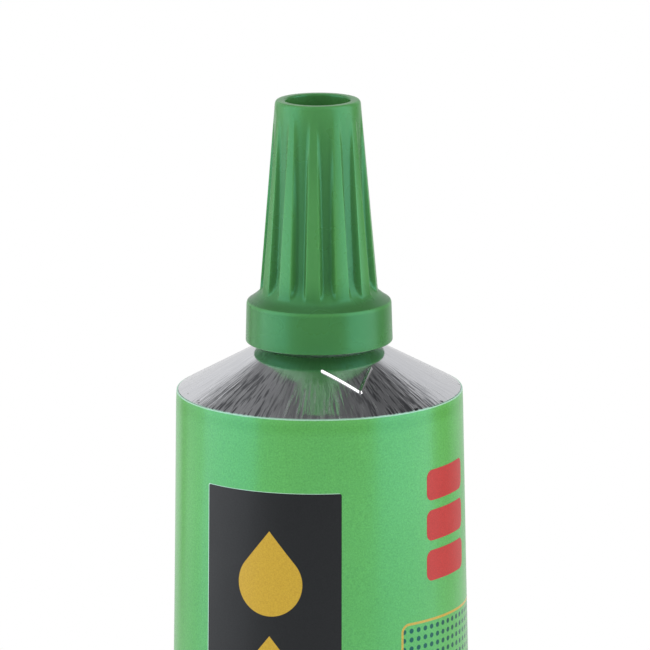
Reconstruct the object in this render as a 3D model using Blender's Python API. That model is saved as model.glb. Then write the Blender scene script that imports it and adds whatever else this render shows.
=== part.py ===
"""Collapsible aluminium tube of gel glue with a fluted screw cap, standing on its folded end.

Metres, +Z along the tube towards the cap, broad side of the fold along X, printed front facing -Y.
"""

import math

import bmesh
import bpy
from mathutils import Vector

# Tube body, measured on the outside of its lacquer
BODY_RADIUS = 0.0110
BODY_LENGTH = 0.0970
FOLD_HEIGHT = 0.0050
FOLD_FRONT = 0.00055
FOLD_BACK = 0.00090
FOLD_EDGE = 0.00020
LEDGE_DROP = 0.00010
EDGE_Z = FOLD_HEIGHT + BODY_LENGTH
TAPER_STRAIGHT = 0.24
TAPER_POWER = 3.5
FLATTEN_POWER = 4.0
FLAT_SHARPNESS = 3.0
BODY_ROWS = 12
ROW_POWER = 1.5

# Layers, from the outside in
COAT_THICKNESS = 0.00015
LAYER_GAP = 0.00005
WALL_THICKNESS = 0.00025
SHOULDER_WALL = 0.00050
FILL_GAP = 0.00010
METAL_DEPTH = COAT_THICKNESS + LAYER_GAP
CAVITY_DEPTH = METAL_DEPTH + WALL_THICKNESS
FILL_DEPTH = CAVITY_DEPTH + FILL_GAP

# Shoulder, neck and nozzle; heights above the edge of the lacquer
SHOULDER_SLOPE = math.tan(math.radians(28.2))
SHOULDER_RADIUS = 0.01095
SHOULDER_LIP = 0.00010
NECK_ROOT = 0.00395
NECK_CREST = 0.00438
NECK_BORE = 0.00330
NECK_TOP = 0.00645
THREAD_FOOT = 0.00390
NOZZLE_BASE = 0.00230
NOZZLE_TIP = 0.00135
NOZZLE_TOP = 0.01440
NOZZLE_LIP = 0.00020
BORE_BASE = 0.00135
BORE_TIP = 0.00090
MEMBRANE_SINK = 0.00010
MEMBRANE_THICKNESS = 0.00025
MEMBRANE_TOP = NOZZLE_TOP - MEMBRANE_SINK
MEMBRANE_FOOT = MEMBRANE_TOP - MEMBRANE_THICKNESS

# Right-hand thread shared by neck and cap
PITCH = 0.0010
CREST_SHARE = 0.20
FLANK_SHARE = 0.15
MERGE_BAND = 0.00003

# Raised V on the shoulder: radius, angle from the front towards +X
MARK_CORNERS = ((0.00608, -13.7), (0.00852, 6.0), (0.00622, 23.6))
MARK_STEPS = 4
MARK_HALF_WIDTH = 0.00016
MARK_HEIGHT = 0.00020
MARK_ROOT = 0.00020

# Screw cap; heights above the edge of the lacquer
COLLAR_RADIUS = 0.00563
COLLAR_FOOT = 0.00374
COLLAR_TOP = 0.00680
COLLAR_BEVEL = 0.00018
COLLAR_SHOULDER = 0.00007
SOCKET_MOUTH = 0.00465
SOCKET_LEAD = 0.00015
FLARE_HEAD = 0.01020
FLARE_POWER = 2.8
FLARE_STEPS = 5
CONE_FOOT_RADIUS = 0.00441
CONE_FOOT = 0.00878
CONE_TOP_RADIUS = 0.00330
CONE_TOP = 0.02205
CAP_TOP = 0.02242
RIM_RADIUS = 0.00304
RIM_STEPS = 3
LIP_RADIUS = 0.00264
RECESS_RADIUS = 0.00250
RECESS_FOOT_RADIUS = 0.00230
RECESS_FLOOR = 0.01600
SPIKE_RADIUS = 0.00075
SPIKE_TIP = 0.02120
SOCKET_ROOT = 0.00452
SOCKET_CREST = 0.00407
SOCKET_TOP = 0.00675
CAP_BORE_FOOT = 0.00275
CAP_BORE_HEAD = 0.00185
CAP_BORE_TOP = 0.01520

# Flutes of the cap
FLUTES = 12
FLUTE_START = math.radians(-6.5)
FLUTE_WIDTH = 0.00122
FLUTE_FLOOR_SHARE = 0.60
FLUTE_FLOOR_RADIUS = 0.00376
FLUTE_HEAD = 0.02160
FLUTE_RUN_OUT = 1.7
FLUTE_ROWS = 6

# Sealing disc between the nozzle's tip and the cap
LINER_RADIUS = 0.00165
LINER_GAP = 0.00010
LINER_FOOT = NOZZLE_TOP + LINER_GAP
LINER_TOP = CAP_BORE_TOP - LINER_GAP

# Ends of the cavity, the fill and the sealant, as shares of the body length from the shoulder
CAVITY_END = 0.992
FILL_END = 0.945
SEALANT_START = 0.952
SEALANT_END = 0.986
SEALANT_ROWS = 3

SHARP_ANGLE = math.radians(30)

# Not a multiple of four: a facet, not an edge, then lies in the middle of the front and of the back
SEGMENTS = 50
ROUND = [2 * math.pi * i / SEGMENTS for i in range(SEGMENTS)]

# Materials: colour, roughness, metallic
BARE_ALUMINIUM = ((0.80, 0.81, 0.83), 0.28, 1.0)
GREEN_ENAMEL = ((0.135, 0.445, 0.170), 0.35, 0.0)
MEMBRANE_FOIL = ((0.66, 0.67, 0.69), 0.35, 1.0)
CLEAR_GEL = ((0.80, 0.82, 0.74), 0.15, 0.0)
CREAM_SEALANT = ((0.62, 0.55, 0.40), 0.70, 0.0)
GREEN_PLASTIC = ((0.068, 0.235, 0.075), 0.30, 0.0)
LINER_FOAM = ((0.84, 0.84, 0.82), 0.60, 0.0)


class Skin:
    """A closed surface grown ring by ring, each ring with one point per angle."""

    def __init__(self, angles):
        self.angles = angles
        self.mesh = bmesh.new()
        self.loop = None

    def join(self, loop):
        if self.loop:
            # The same diagonal in every layer, so that neighbouring layers stay parallel
            low, high = sorted((self.loop, loop), key=lambda ring: ring[0].co.z)
            for i in range(len(loop)):
                self.mesh.faces.new((low[i - 1], low[i], high[i]))
                self.mesh.faces.new((low[i - 1], high[i], high[i - 1]))
        self.loop = loop

    def ring(self, points):
        self.join([self.mesh.verts.new(point) for point in points])

    def circle(self, radius, z):
        self.ring([(radius * math.cos(t), radius * math.sin(t), z) for t in self.angles])

    def lid(self):
        self.mesh.faces.new(self.loop)

    def tip(self, z):
        point = self.mesh.verts.new((0.0, 0.0, z))
        for i in range(len(self.loop)):
            self.mesh.faces.new((self.loop[i], self.loop[(i + 1) % len(self.loop)], point))

    def thread(self, foot, top, root, crest, start):
        """Helical wall from foot up to top; a flank begins at the height start, at angle 0."""
        rise = (0.0, FLANK_SHARE, FLANK_SHARE + CREST_SHARE, 2 * FLANK_SHARE + CREST_SHARE)
        turns = math.ceil((top - foot) / PITCH) + 2

        def vertex(angle, z):
            share = ((z - start) / PITCH - angle / (2 * math.pi)) % 1.0
            height = min(share, rise[3] - share) / FLANK_SHARE
            radius = root + (crest - root) * max(0.0, min(1.0, height))
            return self.mesh.verts.new((radius * math.cos(angle), radius * math.sin(angle), z))

        feet = [vertex(angle, foot) for angle in self.angles]
        heads = [vertex(angle, top) for angle in self.angles]
        columns = []
        for i, angle in enumerate(self.angles):
            column = [feet[i]] * 4
            for row in range(4 * turns):
                z = start + PITCH * (row // 4 - 1 + rise[row % 4] + angle / (2 * math.pi))
                if z < foot + MERGE_BAND:
                    column.append(feet[i])
                elif z > top - MERGE_BAND:
                    column.append(heads[i])
                else:
                    column.append(vertex(angle, z))
            columns.append(column + [heads[i]] * 4)
        self.join(feet)
        for i, near in enumerate(columns):
            # The last column meets the first one a full pitch, or four rows, further up
            far = columns[i + 1] if i + 1 < len(columns) else columns[0][4:] + [heads[0]] * 4
            for row in range(len(near) - 1):
                corners = [near[row], far[row], far[row + 1], near[row + 1]]
                corners = [c for k, c in enumerate(corners) if c is not corners[k - 1]]
                if len(corners) > 2:
                    self.mesh.faces.new(corners)
        self.loop = heads

    def finish(self, name, origin_z, material):
        bmesh.ops.recalc_face_normals(self.mesh, faces=self.mesh.faces)
        bmesh.ops.translate(self.mesh, verts=self.mesh.verts, vec=(0.0, 0.0, -origin_z))
        return add_object(name, self.mesh, origin_z, material)


def add_object(name, mesh, origin_z, material=None):
    data = bpy.data.meshes.new(name)
    mesh.to_mesh(data)
    mesh.free()
    data.shade_smooth()
    data.set_sharp_from_angle(angle=SHARP_ANGLE)
    if material:
        data.materials.append(material)
    part = bpy.data.objects.new(name, data)
    part.location.z = origin_z
    bpy.context.collection.objects.link(part)
    return part


def make_material(name, colour, roughness, metallic):
    material = bpy.data.materials.new(name)
    material.use_nodes = True
    shader = material.node_tree.nodes["Principled BSDF"]
    shader.inputs["Base Color"].default_value = (*colour, 1.0)
    shader.inputs["Roughness"].default_value = roughness
    shader.inputs["Metallic"].default_value = metallic
    return material


def half_sizes(share):
    """Half width and half depth of the body; the perimeter stays that of the round end."""
    flat = FOLD_FRONT / BODY_RADIUS
    curve = (1 - TAPER_STRAIGHT - flat) * share ** TAPER_POWER
    depth = BODY_RADIUS * (1 - TAPER_STRAIGHT * share - curve)
    power = math.log(2) / math.log(math.pi / 2)
    widest = math.pi * BODY_RADIUS / 2
    width = (widest ** power - depth ** power) ** (1 / power)
    return width, depth


def section(width, front, back, flatness, z):
    """Points round an ellipse whose broad sides go flat as flatness nears 1."""
    points = []
    for t in ROUND:
        level = max(-1.0, min(1.0, FLAT_SHARPNESS * math.sin(t)))
        lift = (1 - flatness) * math.sin(t) + flatness * level
        points.append((width * math.cos(t), (back if lift > 0 else front) * lift, z))
    return points


def body_ring(share, inset):
    width, depth = half_sizes(share)
    z = EDGE_Z - share * BODY_LENGTH
    return section(width - inset, depth - inset, depth - inset, share ** FLATTEN_POWER, z)


def row_shares(last):
    """Shares of the body length from the fold up to the shoulder, closer together near the fold."""
    return [last * (1 - (1 - i / BODY_ROWS) ** ROW_POWER) for i in range(BODY_ROWS, -1, -1)]


def outer_rings(inset):
    """Rings of the fold and the body, bottom to top, at a depth below the lacquer's surface."""
    width = half_sizes(1.0)[0] - inset
    front = FOLD_FRONT - inset
    back = FOLD_BACK - inset
    ledge = FOLD_HEIGHT - inset
    rings = [section(width - FOLD_EDGE, front - FOLD_EDGE, back - FOLD_EDGE, 1.0, inset)]
    rings.append(section(width, front, back, 1.0, inset + FOLD_EDGE))
    rings.append(section(width, front, back, 1.0, ledge - LEDGE_DROP))
    rings.append(section(width, front, front, 1.0, ledge))
    rings += [body_ring(share, inset) for share in row_shares(1.0)[1:-1]]
    return rings


def shoulder_z(radius):
    return EDGE_Z + (SHOULDER_RADIUS - radius) * SHOULDER_SLOPE


def aluminium_tube(material):
    """Fold, wall, shoulder, neck and nozzle up the outside, then down through the bore."""
    skin = Skin(ROUND)
    rings = outer_rings(METAL_DEPTH)
    skin.ring(rings[0])
    skin.lid()
    for ring in rings[1:]:
        skin.ring(ring)
    skin.circle(BODY_RADIUS - METAL_DEPTH, EDGE_Z + LAYER_GAP)
    skin.circle(SHOULDER_RADIUS, EDGE_Z + LAYER_GAP)
    skin.circle(SHOULDER_RADIUS - SHOULDER_LIP, shoulder_z(SHOULDER_RADIUS - SHOULDER_LIP) + LAYER_GAP)
    skin.circle(NECK_ROOT, shoulder_z(NECK_ROOT))
    neck_top = EDGE_Z + NECK_TOP
    skin.thread(EDGE_Z + THREAD_FOOT, neck_top, NECK_ROOT, NECK_CREST, EDGE_Z + THREAD_FOOT)
    skin.circle(NOZZLE_BASE, neck_top)
    nozzle_top = EDGE_Z + NOZZLE_TOP
    skin.circle(NOZZLE_TIP, nozzle_top - NOZZLE_LIP)
    skin.circle(NOZZLE_TIP - NOZZLE_LIP, nozzle_top)
    skin.circle(BORE_TIP, nozzle_top)
    skin.circle(BORE_BASE, neck_top)
    skin.circle(NECK_BORE, neck_top - SHOULDER_WALL)
    skin.circle(NECK_BORE, shoulder_z(NECK_BORE) - SHOULDER_WALL)
    inner_edge = BODY_RADIUS - CAVITY_DEPTH
    skin.circle(inner_edge, shoulder_z(inner_edge) - SHOULDER_WALL)
    for share in reversed(row_shares(CAVITY_END)[:-1]):
        skin.ring(body_ring(share, CAVITY_DEPTH))
    skin.lid()
    tube = skin.finish("aluminium_tube", 0.0, material)
    weld = tube.modifiers.new("raised mark", "BOOLEAN")
    weld.operation = "UNION"
    weld.object = raised_mark()
    return tube


def raised_mark():
    """V-shaped ridge that follows the cone of the shoulder, sunk a little into it."""
    corners = []
    for radius, degrees in MARK_CORNERS:
        angle = math.radians(degrees)
        corners.append(Vector((radius * math.sin(angle), -radius * math.cos(angle))))
    first, foot, last = corners
    path = [first.lerp(foot, k / MARK_STEPS) for k in range(MARK_STEPS)]
    path += [foot.lerp(last, k / MARK_STEPS) for k in range(MARK_STEPS + 1)]
    runs = [(b - a).normalized() for a, b in zip(path, path[1:])]
    runs = runs[:1] + runs + runs[-1:]
    mesh = bmesh.new()
    lines = ([], [], [])
    for spot, before, after in zip(path, runs, runs[1:]):
        near = Vector((before.y, -before.x))
        far = Vector((after.y, -after.x))
        aside = (near + far) * (MARK_HALF_WIDTH / (1 + near.dot(far)))
        for line, side, lift in zip(lines, (1, 0, -1), (-MARK_ROOT, MARK_HEIGHT, -MARK_ROOT)):
            place = spot + aside * side
            line.append(mesh.verts.new((*place, shoulder_z(place.length) + lift)))
    for end in (0, -1):
        mesh.faces.new([line[end] for line in lines])
    for k, line in enumerate(lines):
        other = lines[k - 2]
        for i in range(1, len(path)):
            mesh.faces.new((line[i - 1], line[i], other[i], other[i - 1]))
    bmesh.ops.recalc_face_normals(mesh, faces=mesh.faces)
    ridge = add_object("raised_mark", mesh, 0.0)
    ridge.hide_render = True
    ridge.display_type = "WIRE"
    return ridge


def enamel_coat(material):
    """Lacquer on the wall and the fold: a sock that is open at the shoulder."""
    skin = Skin(ROUND)
    outside = outer_rings(0.0)
    inside = outer_rings(COAT_THICKNESS)
    skin.ring(outside[0])
    skin.lid()
    for ring in outside[1:]:
        skin.ring(ring)
    skin.circle(BODY_RADIUS, EDGE_Z)
    skin.circle(BODY_RADIUS - COAT_THICKNESS, EDGE_Z)
    for ring in reversed(inside):
        skin.ring(ring)
    skin.lid()
    return skin.finish("enamel_coat", 0.0, material)


def gel_fill(material):
    """Adhesive that fills the body, the shoulder and the nozzle up to the membrane."""
    skin = Skin(ROUND)
    shares = row_shares(FILL_END)
    skin.ring(body_ring(shares[0], FILL_DEPTH))
    skin.lid()
    for share in shares[1:-1]:
        skin.ring(body_ring(share, FILL_DEPTH))
    drop = SHOULDER_WALL + 2 * FILL_GAP
    inner_edge = BODY_RADIUS - FILL_DEPTH
    neck = NECK_BORE - FILL_GAP
    neck_top = EDGE_Z + NECK_TOP - SHOULDER_WALL - FILL_GAP
    skin.circle(inner_edge, shoulder_z(inner_edge) - drop)
    skin.circle(neck, shoulder_z(neck) - drop)
    skin.circle(neck, neck_top)
    skin.circle(BORE_BASE - 2 * FILL_GAP, neck_top)
    skin.circle(BORE_TIP - FILL_GAP, EDGE_Z + MEMBRANE_FOOT - FILL_GAP)
    skin.lid()
    return skin.finish("gel_fill", 0.0, material)


def end_sealant(material):
    """Wedge of sealing compound between the gel and the fold."""
    skin = Skin(ROUND)
    span = SEALANT_END - SEALANT_START
    skin.ring(body_ring(SEALANT_END, FILL_DEPTH))
    skin.lid()
    for row in range(1, SEALANT_ROWS + 1):
        skin.ring(body_ring(SEALANT_END - span * row / SEALANT_ROWS, FILL_DEPTH))
    skin.lid()
    return skin.finish("end_sealant", 0.0, material)


def disc(name, radius, foot, top, material):
    skin = Skin(ROUND)
    skin.circle(radius, foot)
    skin.lid()
    skin.circle(radius, top)
    skin.lid()
    return skin.finish(name, foot, material)


def rib_radius(height):
    """Radius of the straight cone that the ribs' tops lie on."""
    share = (height - CONE_FOOT) / (CONE_TOP - CONE_FOOT)
    return CONE_FOOT_RADIUS + (CONE_TOP_RADIUS - CONE_FOOT_RADIUS) * share


def floor_radius(height):
    """Radius of the flutes' floors: it leaves the cone at their heads and flares out to the collar."""
    if height > FLARE_HEAD:
        share = (FLUTE_HEAD - height) / (FLUTE_HEAD - FLARE_HEAD)
        depth = rib_radius(FLARE_HEAD) - FLUTE_FLOOR_RADIUS
        return rib_radius(height) - depth * (1 - (1 - share) ** FLUTE_RUN_OUT)
    share = (FLARE_HEAD - height) / (FLARE_HEAD - COLLAR_TOP)
    reach = COLLAR_RADIUS - COLLAR_SHOULDER - FLUTE_FLOOR_RADIUS
    return FLUTE_FLOOR_RADIUS + reach * share ** FLARE_POWER


def flute_angles(radius):
    """Four angles a flute: both edges of its mouth and, between them, both edges of its floor."""
    mouth = math.asin(FLUTE_WIDTH / 2 / radius)
    floor = mouth * FLUTE_FLOOR_SHARE
    angles = []
    for flute in range(FLUTES):
        centre = FLUTE_START + 2 * math.pi * flute / FLUTES
        angles += [centre - mouth, centre - floor, centre + floor, centre + mouth]
    return angles


def fluted_ring(height):
    floor = floor_radius(height)
    rib = max(floor, rib_radius(height))
    points = []
    for i, t in enumerate(flute_angles(rib)):
        radius = floor if i % 4 in (1, 2) else rib
        points.append((radius * math.cos(t), radius * math.sin(t), EDGE_Z + height))
    return points


def screw_cap(material):
    """Spike and recess, over the rim, down the fluted cone and collar, then up the thread and bore."""
    skin = Skin(flute_angles(CONE_FOOT_RADIUS))
    skin.circle(SPIKE_RADIUS, EDGE_Z + RECESS_FLOOR)
    skin.tip(EDGE_Z + SPIKE_TIP)
    skin.circle(RECESS_FOOT_RADIUS, EDGE_Z + RECESS_FLOOR)
    skin.circle(RECESS_RADIUS, EDGE_Z + CAP_TOP - (LIP_RADIUS - RECESS_RADIUS))
    skin.circle(LIP_RADIUS, EDGE_Z + CAP_TOP)
    for step in range(RIM_STEPS + 1):
        turn = math.pi / 2 * step / RIM_STEPS
        radius = RIM_RADIUS + (CONE_TOP_RADIUS - RIM_RADIUS) * math.sin(turn)
        skin.circle(radius, EDGE_Z + CONE_TOP + (CAP_TOP - CONE_TOP) * math.cos(turn))
    for row in range(FLUTE_ROWS):
        skin.ring(fluted_ring(FLUTE_HEAD + (FLARE_HEAD - FLUTE_HEAD) * row / FLUTE_ROWS))
    for step in range(FLARE_STEPS + 1):
        skin.ring(fluted_ring(FLARE_HEAD + (COLLAR_TOP - FLARE_HEAD) * step / FLARE_STEPS))
    skin.circle(COLLAR_RADIUS, EDGE_Z + COLLAR_TOP - COLLAR_BEVEL)
    skin.circle(COLLAR_RADIUS, EDGE_Z + COLLAR_FOOT + COLLAR_BEVEL)
    skin.circle(COLLAR_RADIUS - COLLAR_BEVEL, EDGE_Z + COLLAR_FOOT)
    skin.circle(SOCKET_MOUTH, EDGE_Z + COLLAR_FOOT)
    socket_foot = EDGE_Z + COLLAR_FOOT + SOCKET_LEAD
    socket_top = EDGE_Z + SOCKET_TOP
    # Half a pitch below the neck's thread, so that each crest lies in the other's groove
    skin.thread(socket_foot, socket_top, SOCKET_ROOT, SOCKET_CREST, EDGE_Z + THREAD_FOOT - PITCH / 2)
    skin.circle(CAP_BORE_FOOT, socket_top)
    skin.circle(CAP_BORE_HEAD, EDGE_Z + CAP_BORE_TOP)
    skin.lid()
    return skin.finish("screw_cap", EDGE_Z + COLLAR_FOOT, material)


def main():
    for old in list(bpy.data.objects):
        bpy.data.objects.remove(old, do_unlink=True)
    tube = aluminium_tube(make_material("bare_aluminium", *BARE_ALUMINIUM))
    coat = enamel_coat(make_material("green_enamel", *GREEN_ENAMEL))
    gel = gel_fill(make_material("clear_gel", *CLEAR_GEL))
    sealant = end_sealant(make_material("cream_sealant", *CREAM_SEALANT))
    foil = make_material("membrane_foil", *MEMBRANE_FOIL)
    membrane_radius = BORE_TIP - LAYER_GAP
    membrane = disc("nozzle_membrane", membrane_radius, EDGE_Z + MEMBRANE_FOOT, EDGE_Z + MEMBRANE_TOP, foil)
    foam = make_material("liner_foam", *LINER_FOAM)
    liner = disc("cap_liner", LINER_RADIUS, EDGE_Z + LINER_FOOT, EDGE_Z + LINER_TOP, foam)
    cap = screw_cap(make_material("green_plastic", *GREEN_PLASTIC))
    axis = bpy.data.objects.new("cap_axis", None)
    bpy.context.collection.objects.link(axis)
    for part in (coat, gel, sealant, membrane, axis):
        part.parent = tube
    for part in (liner, cap):
        part.parent = axis


main()
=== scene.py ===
"""Tube of gel glue: fine surfaces, plain print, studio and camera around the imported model."""

import math

import bmesh
import bpy
import numpy
from mathutils import Matrix, Vector


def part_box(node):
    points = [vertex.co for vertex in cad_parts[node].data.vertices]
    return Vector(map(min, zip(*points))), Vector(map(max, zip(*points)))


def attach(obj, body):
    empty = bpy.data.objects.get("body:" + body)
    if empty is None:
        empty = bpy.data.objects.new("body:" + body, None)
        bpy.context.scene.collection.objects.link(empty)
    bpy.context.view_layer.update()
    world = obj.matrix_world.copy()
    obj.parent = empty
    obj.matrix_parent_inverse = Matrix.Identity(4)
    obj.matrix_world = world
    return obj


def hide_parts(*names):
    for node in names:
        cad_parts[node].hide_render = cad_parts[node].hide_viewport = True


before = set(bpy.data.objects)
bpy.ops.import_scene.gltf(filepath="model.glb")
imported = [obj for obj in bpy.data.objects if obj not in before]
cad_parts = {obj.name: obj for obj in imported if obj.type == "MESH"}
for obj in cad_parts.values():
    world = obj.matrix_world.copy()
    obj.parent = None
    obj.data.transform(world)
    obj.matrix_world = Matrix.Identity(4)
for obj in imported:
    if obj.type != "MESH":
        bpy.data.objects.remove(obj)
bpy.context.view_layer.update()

# Tube body, in metres
EDGE_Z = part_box("enamel_coat")[1][2]
BODY_RADIUS = 0.0110
BODY_LENGTH = 0.0970
FOLD_HEIGHT = 0.0050
FOLD_FRONT = 0.00055
FOLD_BACK = 0.00090
FOLD_EDGE = 0.00020
LEDGE_DROP = 0.00010
TAPER_STRAIGHT = 0.18
TAPER_POWER = 3.5
FLATTEN_POWER = 4.0
BODY_SHARPNESS = 3.0
FOLD_SHARPNESS = 6.0
COAT_THICKNESS = 0.00015
METAL_DEPTH = 0.00020
CAVITY_DEPTH = 0.00045
CAVITY_START = 0.01
CAVITY_END = 0.992
CAVITY_ROWS = 20
COLUMNS = 240
# Rows up the fold and rows up the wall, for the side that shows and for hidden sides
FINE_ROWS = (40, 110)
COARSE_ROWS = (6, 24)
FOLD_EDGE_STEPS = (0.0, 0.35, 0.65)
# Share of the wall's height, from the fold, over which rows start closer together
EASED_SHARE = 0.25

# Small form of the lacquered wall
ROLL_HEIGHT = 0.0015
ROLL_DEPTH = 0.000027
ROLL_ROWS = 8
LIP_ROUND = 0.00006
LIP_STEPS = 4
DENT_DEPTH = 0.00007
# Waves of the hand marks: turns round the tube, turn along its length and start
DENT_WAVES = ((3, 9.0, 0.7), (5, -14.0, 2.1), (2, 23.0, 0.0))
DENT_START = 0.2
DENT_RISE = 3
DENT_END = 0.97
DENT_FALL = 8
PRESS_LINES = (0.0016, 0.0033)
PRESS_DEPTH = 0.00010
PRESS_WIDTH = 0.00018

# Shoulder, neck and nozzle; heights above the edge of the lacquer
SHOULDER_SLOPE = math.tan(math.radians(28.2))
SHOULDER_RADIUS = 0.01095
SHOULDER_RIM = 0.01084
SHOULDER_WALL = 0.00050
SHOULDER_ROWS = 40
SEAT_INSET = 0.00006
SEAT_DROP = 0.0004
TURN_START = 0.01040
TURN_DROP = 0.000020
NECK_ROOT = 0.00395
NECK_CREST = 0.00438
NECK_BORE = 0.00330
NECK_TOP = 0.00645
NECK_FILLET = 0.00025
NECK_FILLET_STEPS = 4
NECK_CHAMFER = (0.00008, 0.00010)
NECK_ROWS = 32
THREAD_FOOT = 0.00390
NOZZLE_FILLET = 0.0002
NOZZLE_ROWS = 8
NOZZLE_BASE = 0.00230
NOZZLE_TIP = 0.00135
NOZZLE_TOP = 0.01440
NOZZLE_LIP = 0.00020
NOZZLE_LIP_STEPS = 3
BORE_BASE = 0.00135
BORE_TIP = 0.00090
PITCH = 0.0010
CREST_SHARE = 0.20
FLANK_SHARE = 0.15

# Raised V: corners by radius and angle from the front towards +X, and its profile as (outwards, up)
MARK_CORNERS = ((0.00608, -13.7), (0.00852, 6.0), (0.00622, 23.6))
MARK_STEPS = 12
MARK_FILLET = 0.00020
MARK_FILLET_STEPS = 8
MARK_PROFILE = (
    (0.000160, -0.000080), (0.000130, 0.000000), (0.000124, 0.000008), (0.000008, 0.000162),
    (-0.000003, 0.000176), (-0.000016, 0.000185), (-0.000034, 0.000186), (-0.000052, 0.000178),
    (-0.000220, 0.000040), (-0.000270, -0.000080),
)
# How far the outer wall leans out on the first and the second arm
MARK_LEAN = (0.58, 1.00)
# Rounded ends: reach past the corner, and size
MARK_ENDS = ((0.00009, 0.30), (0.00006, 0.78))

# Screw cap; heights above the edge of the lacquer
COLLAR_RADIUS = 0.00563
COLLAR_HEAD_RADIUS = 0.00555
COLLAR_FOOT = 0.00374
COLLAR_TOP = 0.00693
COLLAR_ROWS = 5
COLLAR_ROUND = (0.00022, 0.00034)
COLLAR_ROUND_FOOT = 0.00663
COLLAR_ROUND_STEPS = 10
FOOT_BEVEL = 0.00013
FOOT_BEVEL_STEPS = 5
COLLAR_SHOULDER = 0.00012
SOCKET_MOUTH = 0.00442
SOCKET_LEAD = 0.00015
SOCKET_ROOT = 0.00452
SOCKET_CREST = 0.00407
SOCKET_TOP = 0.00675
SOCKET_ROWS = 36
FLARE_HEAD = 0.01020
FLARE_POWER = 3.2
FLARE_ROWS = 28
CONE_FOOT_RADIUS = 0.00441
CONE_FOOT = 0.00878
CONE_TOP_RADIUS = 0.00328
CONE_TOP = 0.02205
CONE_ROWS = 40
CAP_TOP = 0.02242
RIM_RADIUS = 0.00304
RIM_STEPS = 10
LIP_RADIUS = 0.00264
RECESS_LIP_STEPS = 7
RECESS_RADIUS = 0.00247
RECESS_FOOT_RADIUS = 0.00230
RECESS_FLOOR = 0.01600
RECESS_FILLET = 0.0002
RECESS_ROWS = 12
SPIKE_RADIUS = 0.00075
SPIKE_TIP = 0.02120
SPIKE_CROWN = 0.0001
SPIKE_BLUNT = 0.12
SPIKE_ROWS = 6
CAP_BORE_FOOT = 0.00275
CAP_BORE_HEAD = 0.00185
CAP_BORE_TOP = 0.01520
FLUTES = 12
FLUTE_START = math.radians(-6.5)
FLUTE_WIDTH = 0.00122
FLUTE_FLOOR_RADIUS = 0.00378
FLUTE_HEAD = 0.02160
FLUTE_RUN_OUT = 1.7
FLUTE_WALL = 0.50
FLUTE_FULL = 0.00040
FLUTE_FADE = (0.0074, 0.0094)
GROOVE_POINTS = 15
LAND_POINTS = 9
LAND_BEVEL = 0.00003
BEVEL_DROP = 0.00001
BEVEL_DEPTH = 5 * BEVEL_DROP
BLEND = 0.00004
# Painted light and shade of the cap: 1 is the painted light green of the ribs, -1 the painted shade green
# of the flutes
# Painted light on the collar's underside
UNDERSIDE_PAINTED_LIGHT = 0.5
# Painted light towards the cap's rim
RIM_PAINTED_LIGHT = 0.75
RIM_LIGHT_FOOT = 0.0180
# Painted shade at the foot of the flare
FLARE_SHADE = 1.6
FLARE_SHADE_TOP = 0.0078
FLARE_SHADE_FULL = 0.0073
# Painted highlight along the collar's top corner
CORNER_PAINTED_HIGHLIGHT = 0.6

# Ink on the lacquer, in metres
INK_UP = 0.000008
INK_DOWN = 0.000020
INK_COLUMNS = 30
INK_ROW = 0.5
INK_CORNER_ROWS = 6

# Camera: place round the tube, aim and lens
CAMERA_TURN = math.radians(-15.5)
CAMERA_RISE = math.radians(12.25)
CAMERA_DISTANCE = 0.4500
CAMERA_ROLL = -0.0057
CAMERA_LENS = 325.6
AIM_HEIGHT = 0.00490
AIM_RIGHT = 0.0004500


class Skin:
    """A closed surface grown ring by ring; each point of a ring may carry a place on a map as well."""

    def __init__(self, map_name=None):
        self.mesh = bmesh.new()
        self.loop = None
        self.places = None
        self.map = self.mesh.loops.layers.uv.new(map_name) if map_name else None

    def ring(self, points, places=None):
        loop = [self.mesh.verts.new(point) for point in points]
        places = places or [(0.0, 0.0, 0.0)] * len(loop)
        if self.loop:
            for i in range(len(loop)):
                face = self.mesh.faces.new((self.loop[i - 1], self.loop[i], loop[i], loop[i - 1]))
                if self.map:
                    self.stamp(face, i, places)
        self.loop = loop
        self.places = places

    def stamp(self, face, i, places):
        spots = (self.places[i - 1], self.places[i], places[i], places[i - 1])
        # The seam at the back: its last column runs on past half the perimeter
        turn = (0.0, 0.0, 0.0, 0.0) if i else (0.0, self.places[-1][2], places[-1][2], 0.0)
        for corner, spot, more in zip(face.loops, spots, turn):
            corner[self.map].uv = (spot[0] + more, spot[1])

    def circle(self, angles, radius, z, painted_shading=0.0):
        points = [(radius * math.cos(t), radius * math.sin(t), z) for t in angles]
        self.ring(points, [(painted_shading, 0.0, 0.0)] * len(points))

    def lid(self):
        self.mesh.faces.new(self.loop)

    def tip(self, z):
        point = self.mesh.verts.new((0.0, 0.0, z))
        for i in range(len(self.loop)):
            self.mesh.faces.new((self.loop[i - 1], self.loop[i], point))

    def finish(self, name, material, sharp_degrees):
        bmesh.ops.recalc_face_normals(self.mesh, faces=self.mesh.faces)
        return add_piece(name, self.mesh, material, sharp_degrees)


def add_piece(name, mesh, material, sharp_degrees):
    data = bpy.data.meshes.new(name)
    mesh.to_mesh(data)
    mesh.free()
    data.shade_smooth()
    data.set_sharp_from_angle(angle=math.radians(sharp_degrees))
    data.materials.append(material)
    piece = bpy.data.objects.new(name, data)
    bpy.context.collection.objects.link(piece)
    return piece


def mix(a, b, share):
    return a + (b - a) * share


def clamp(value):
    return max(0.0, min(1.0, value))


def shares(rows, first=0):
    """Even shares from 0 to 1, or from the first row on."""
    return [row / rows for row in range(first, rows + 1)]


def quarter(steps):
    """Even angles up to a quarter turn, without 0."""
    return [math.pi / 2 * step / steps for step in range(1, steps + 1)]


# Body outline

# The columns start at the back, run round by -X to the front and on by +X
AROUND = [math.pi / 2 + 2 * math.pi * i / COLUMNS for i in range(COLUMNS)]


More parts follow.
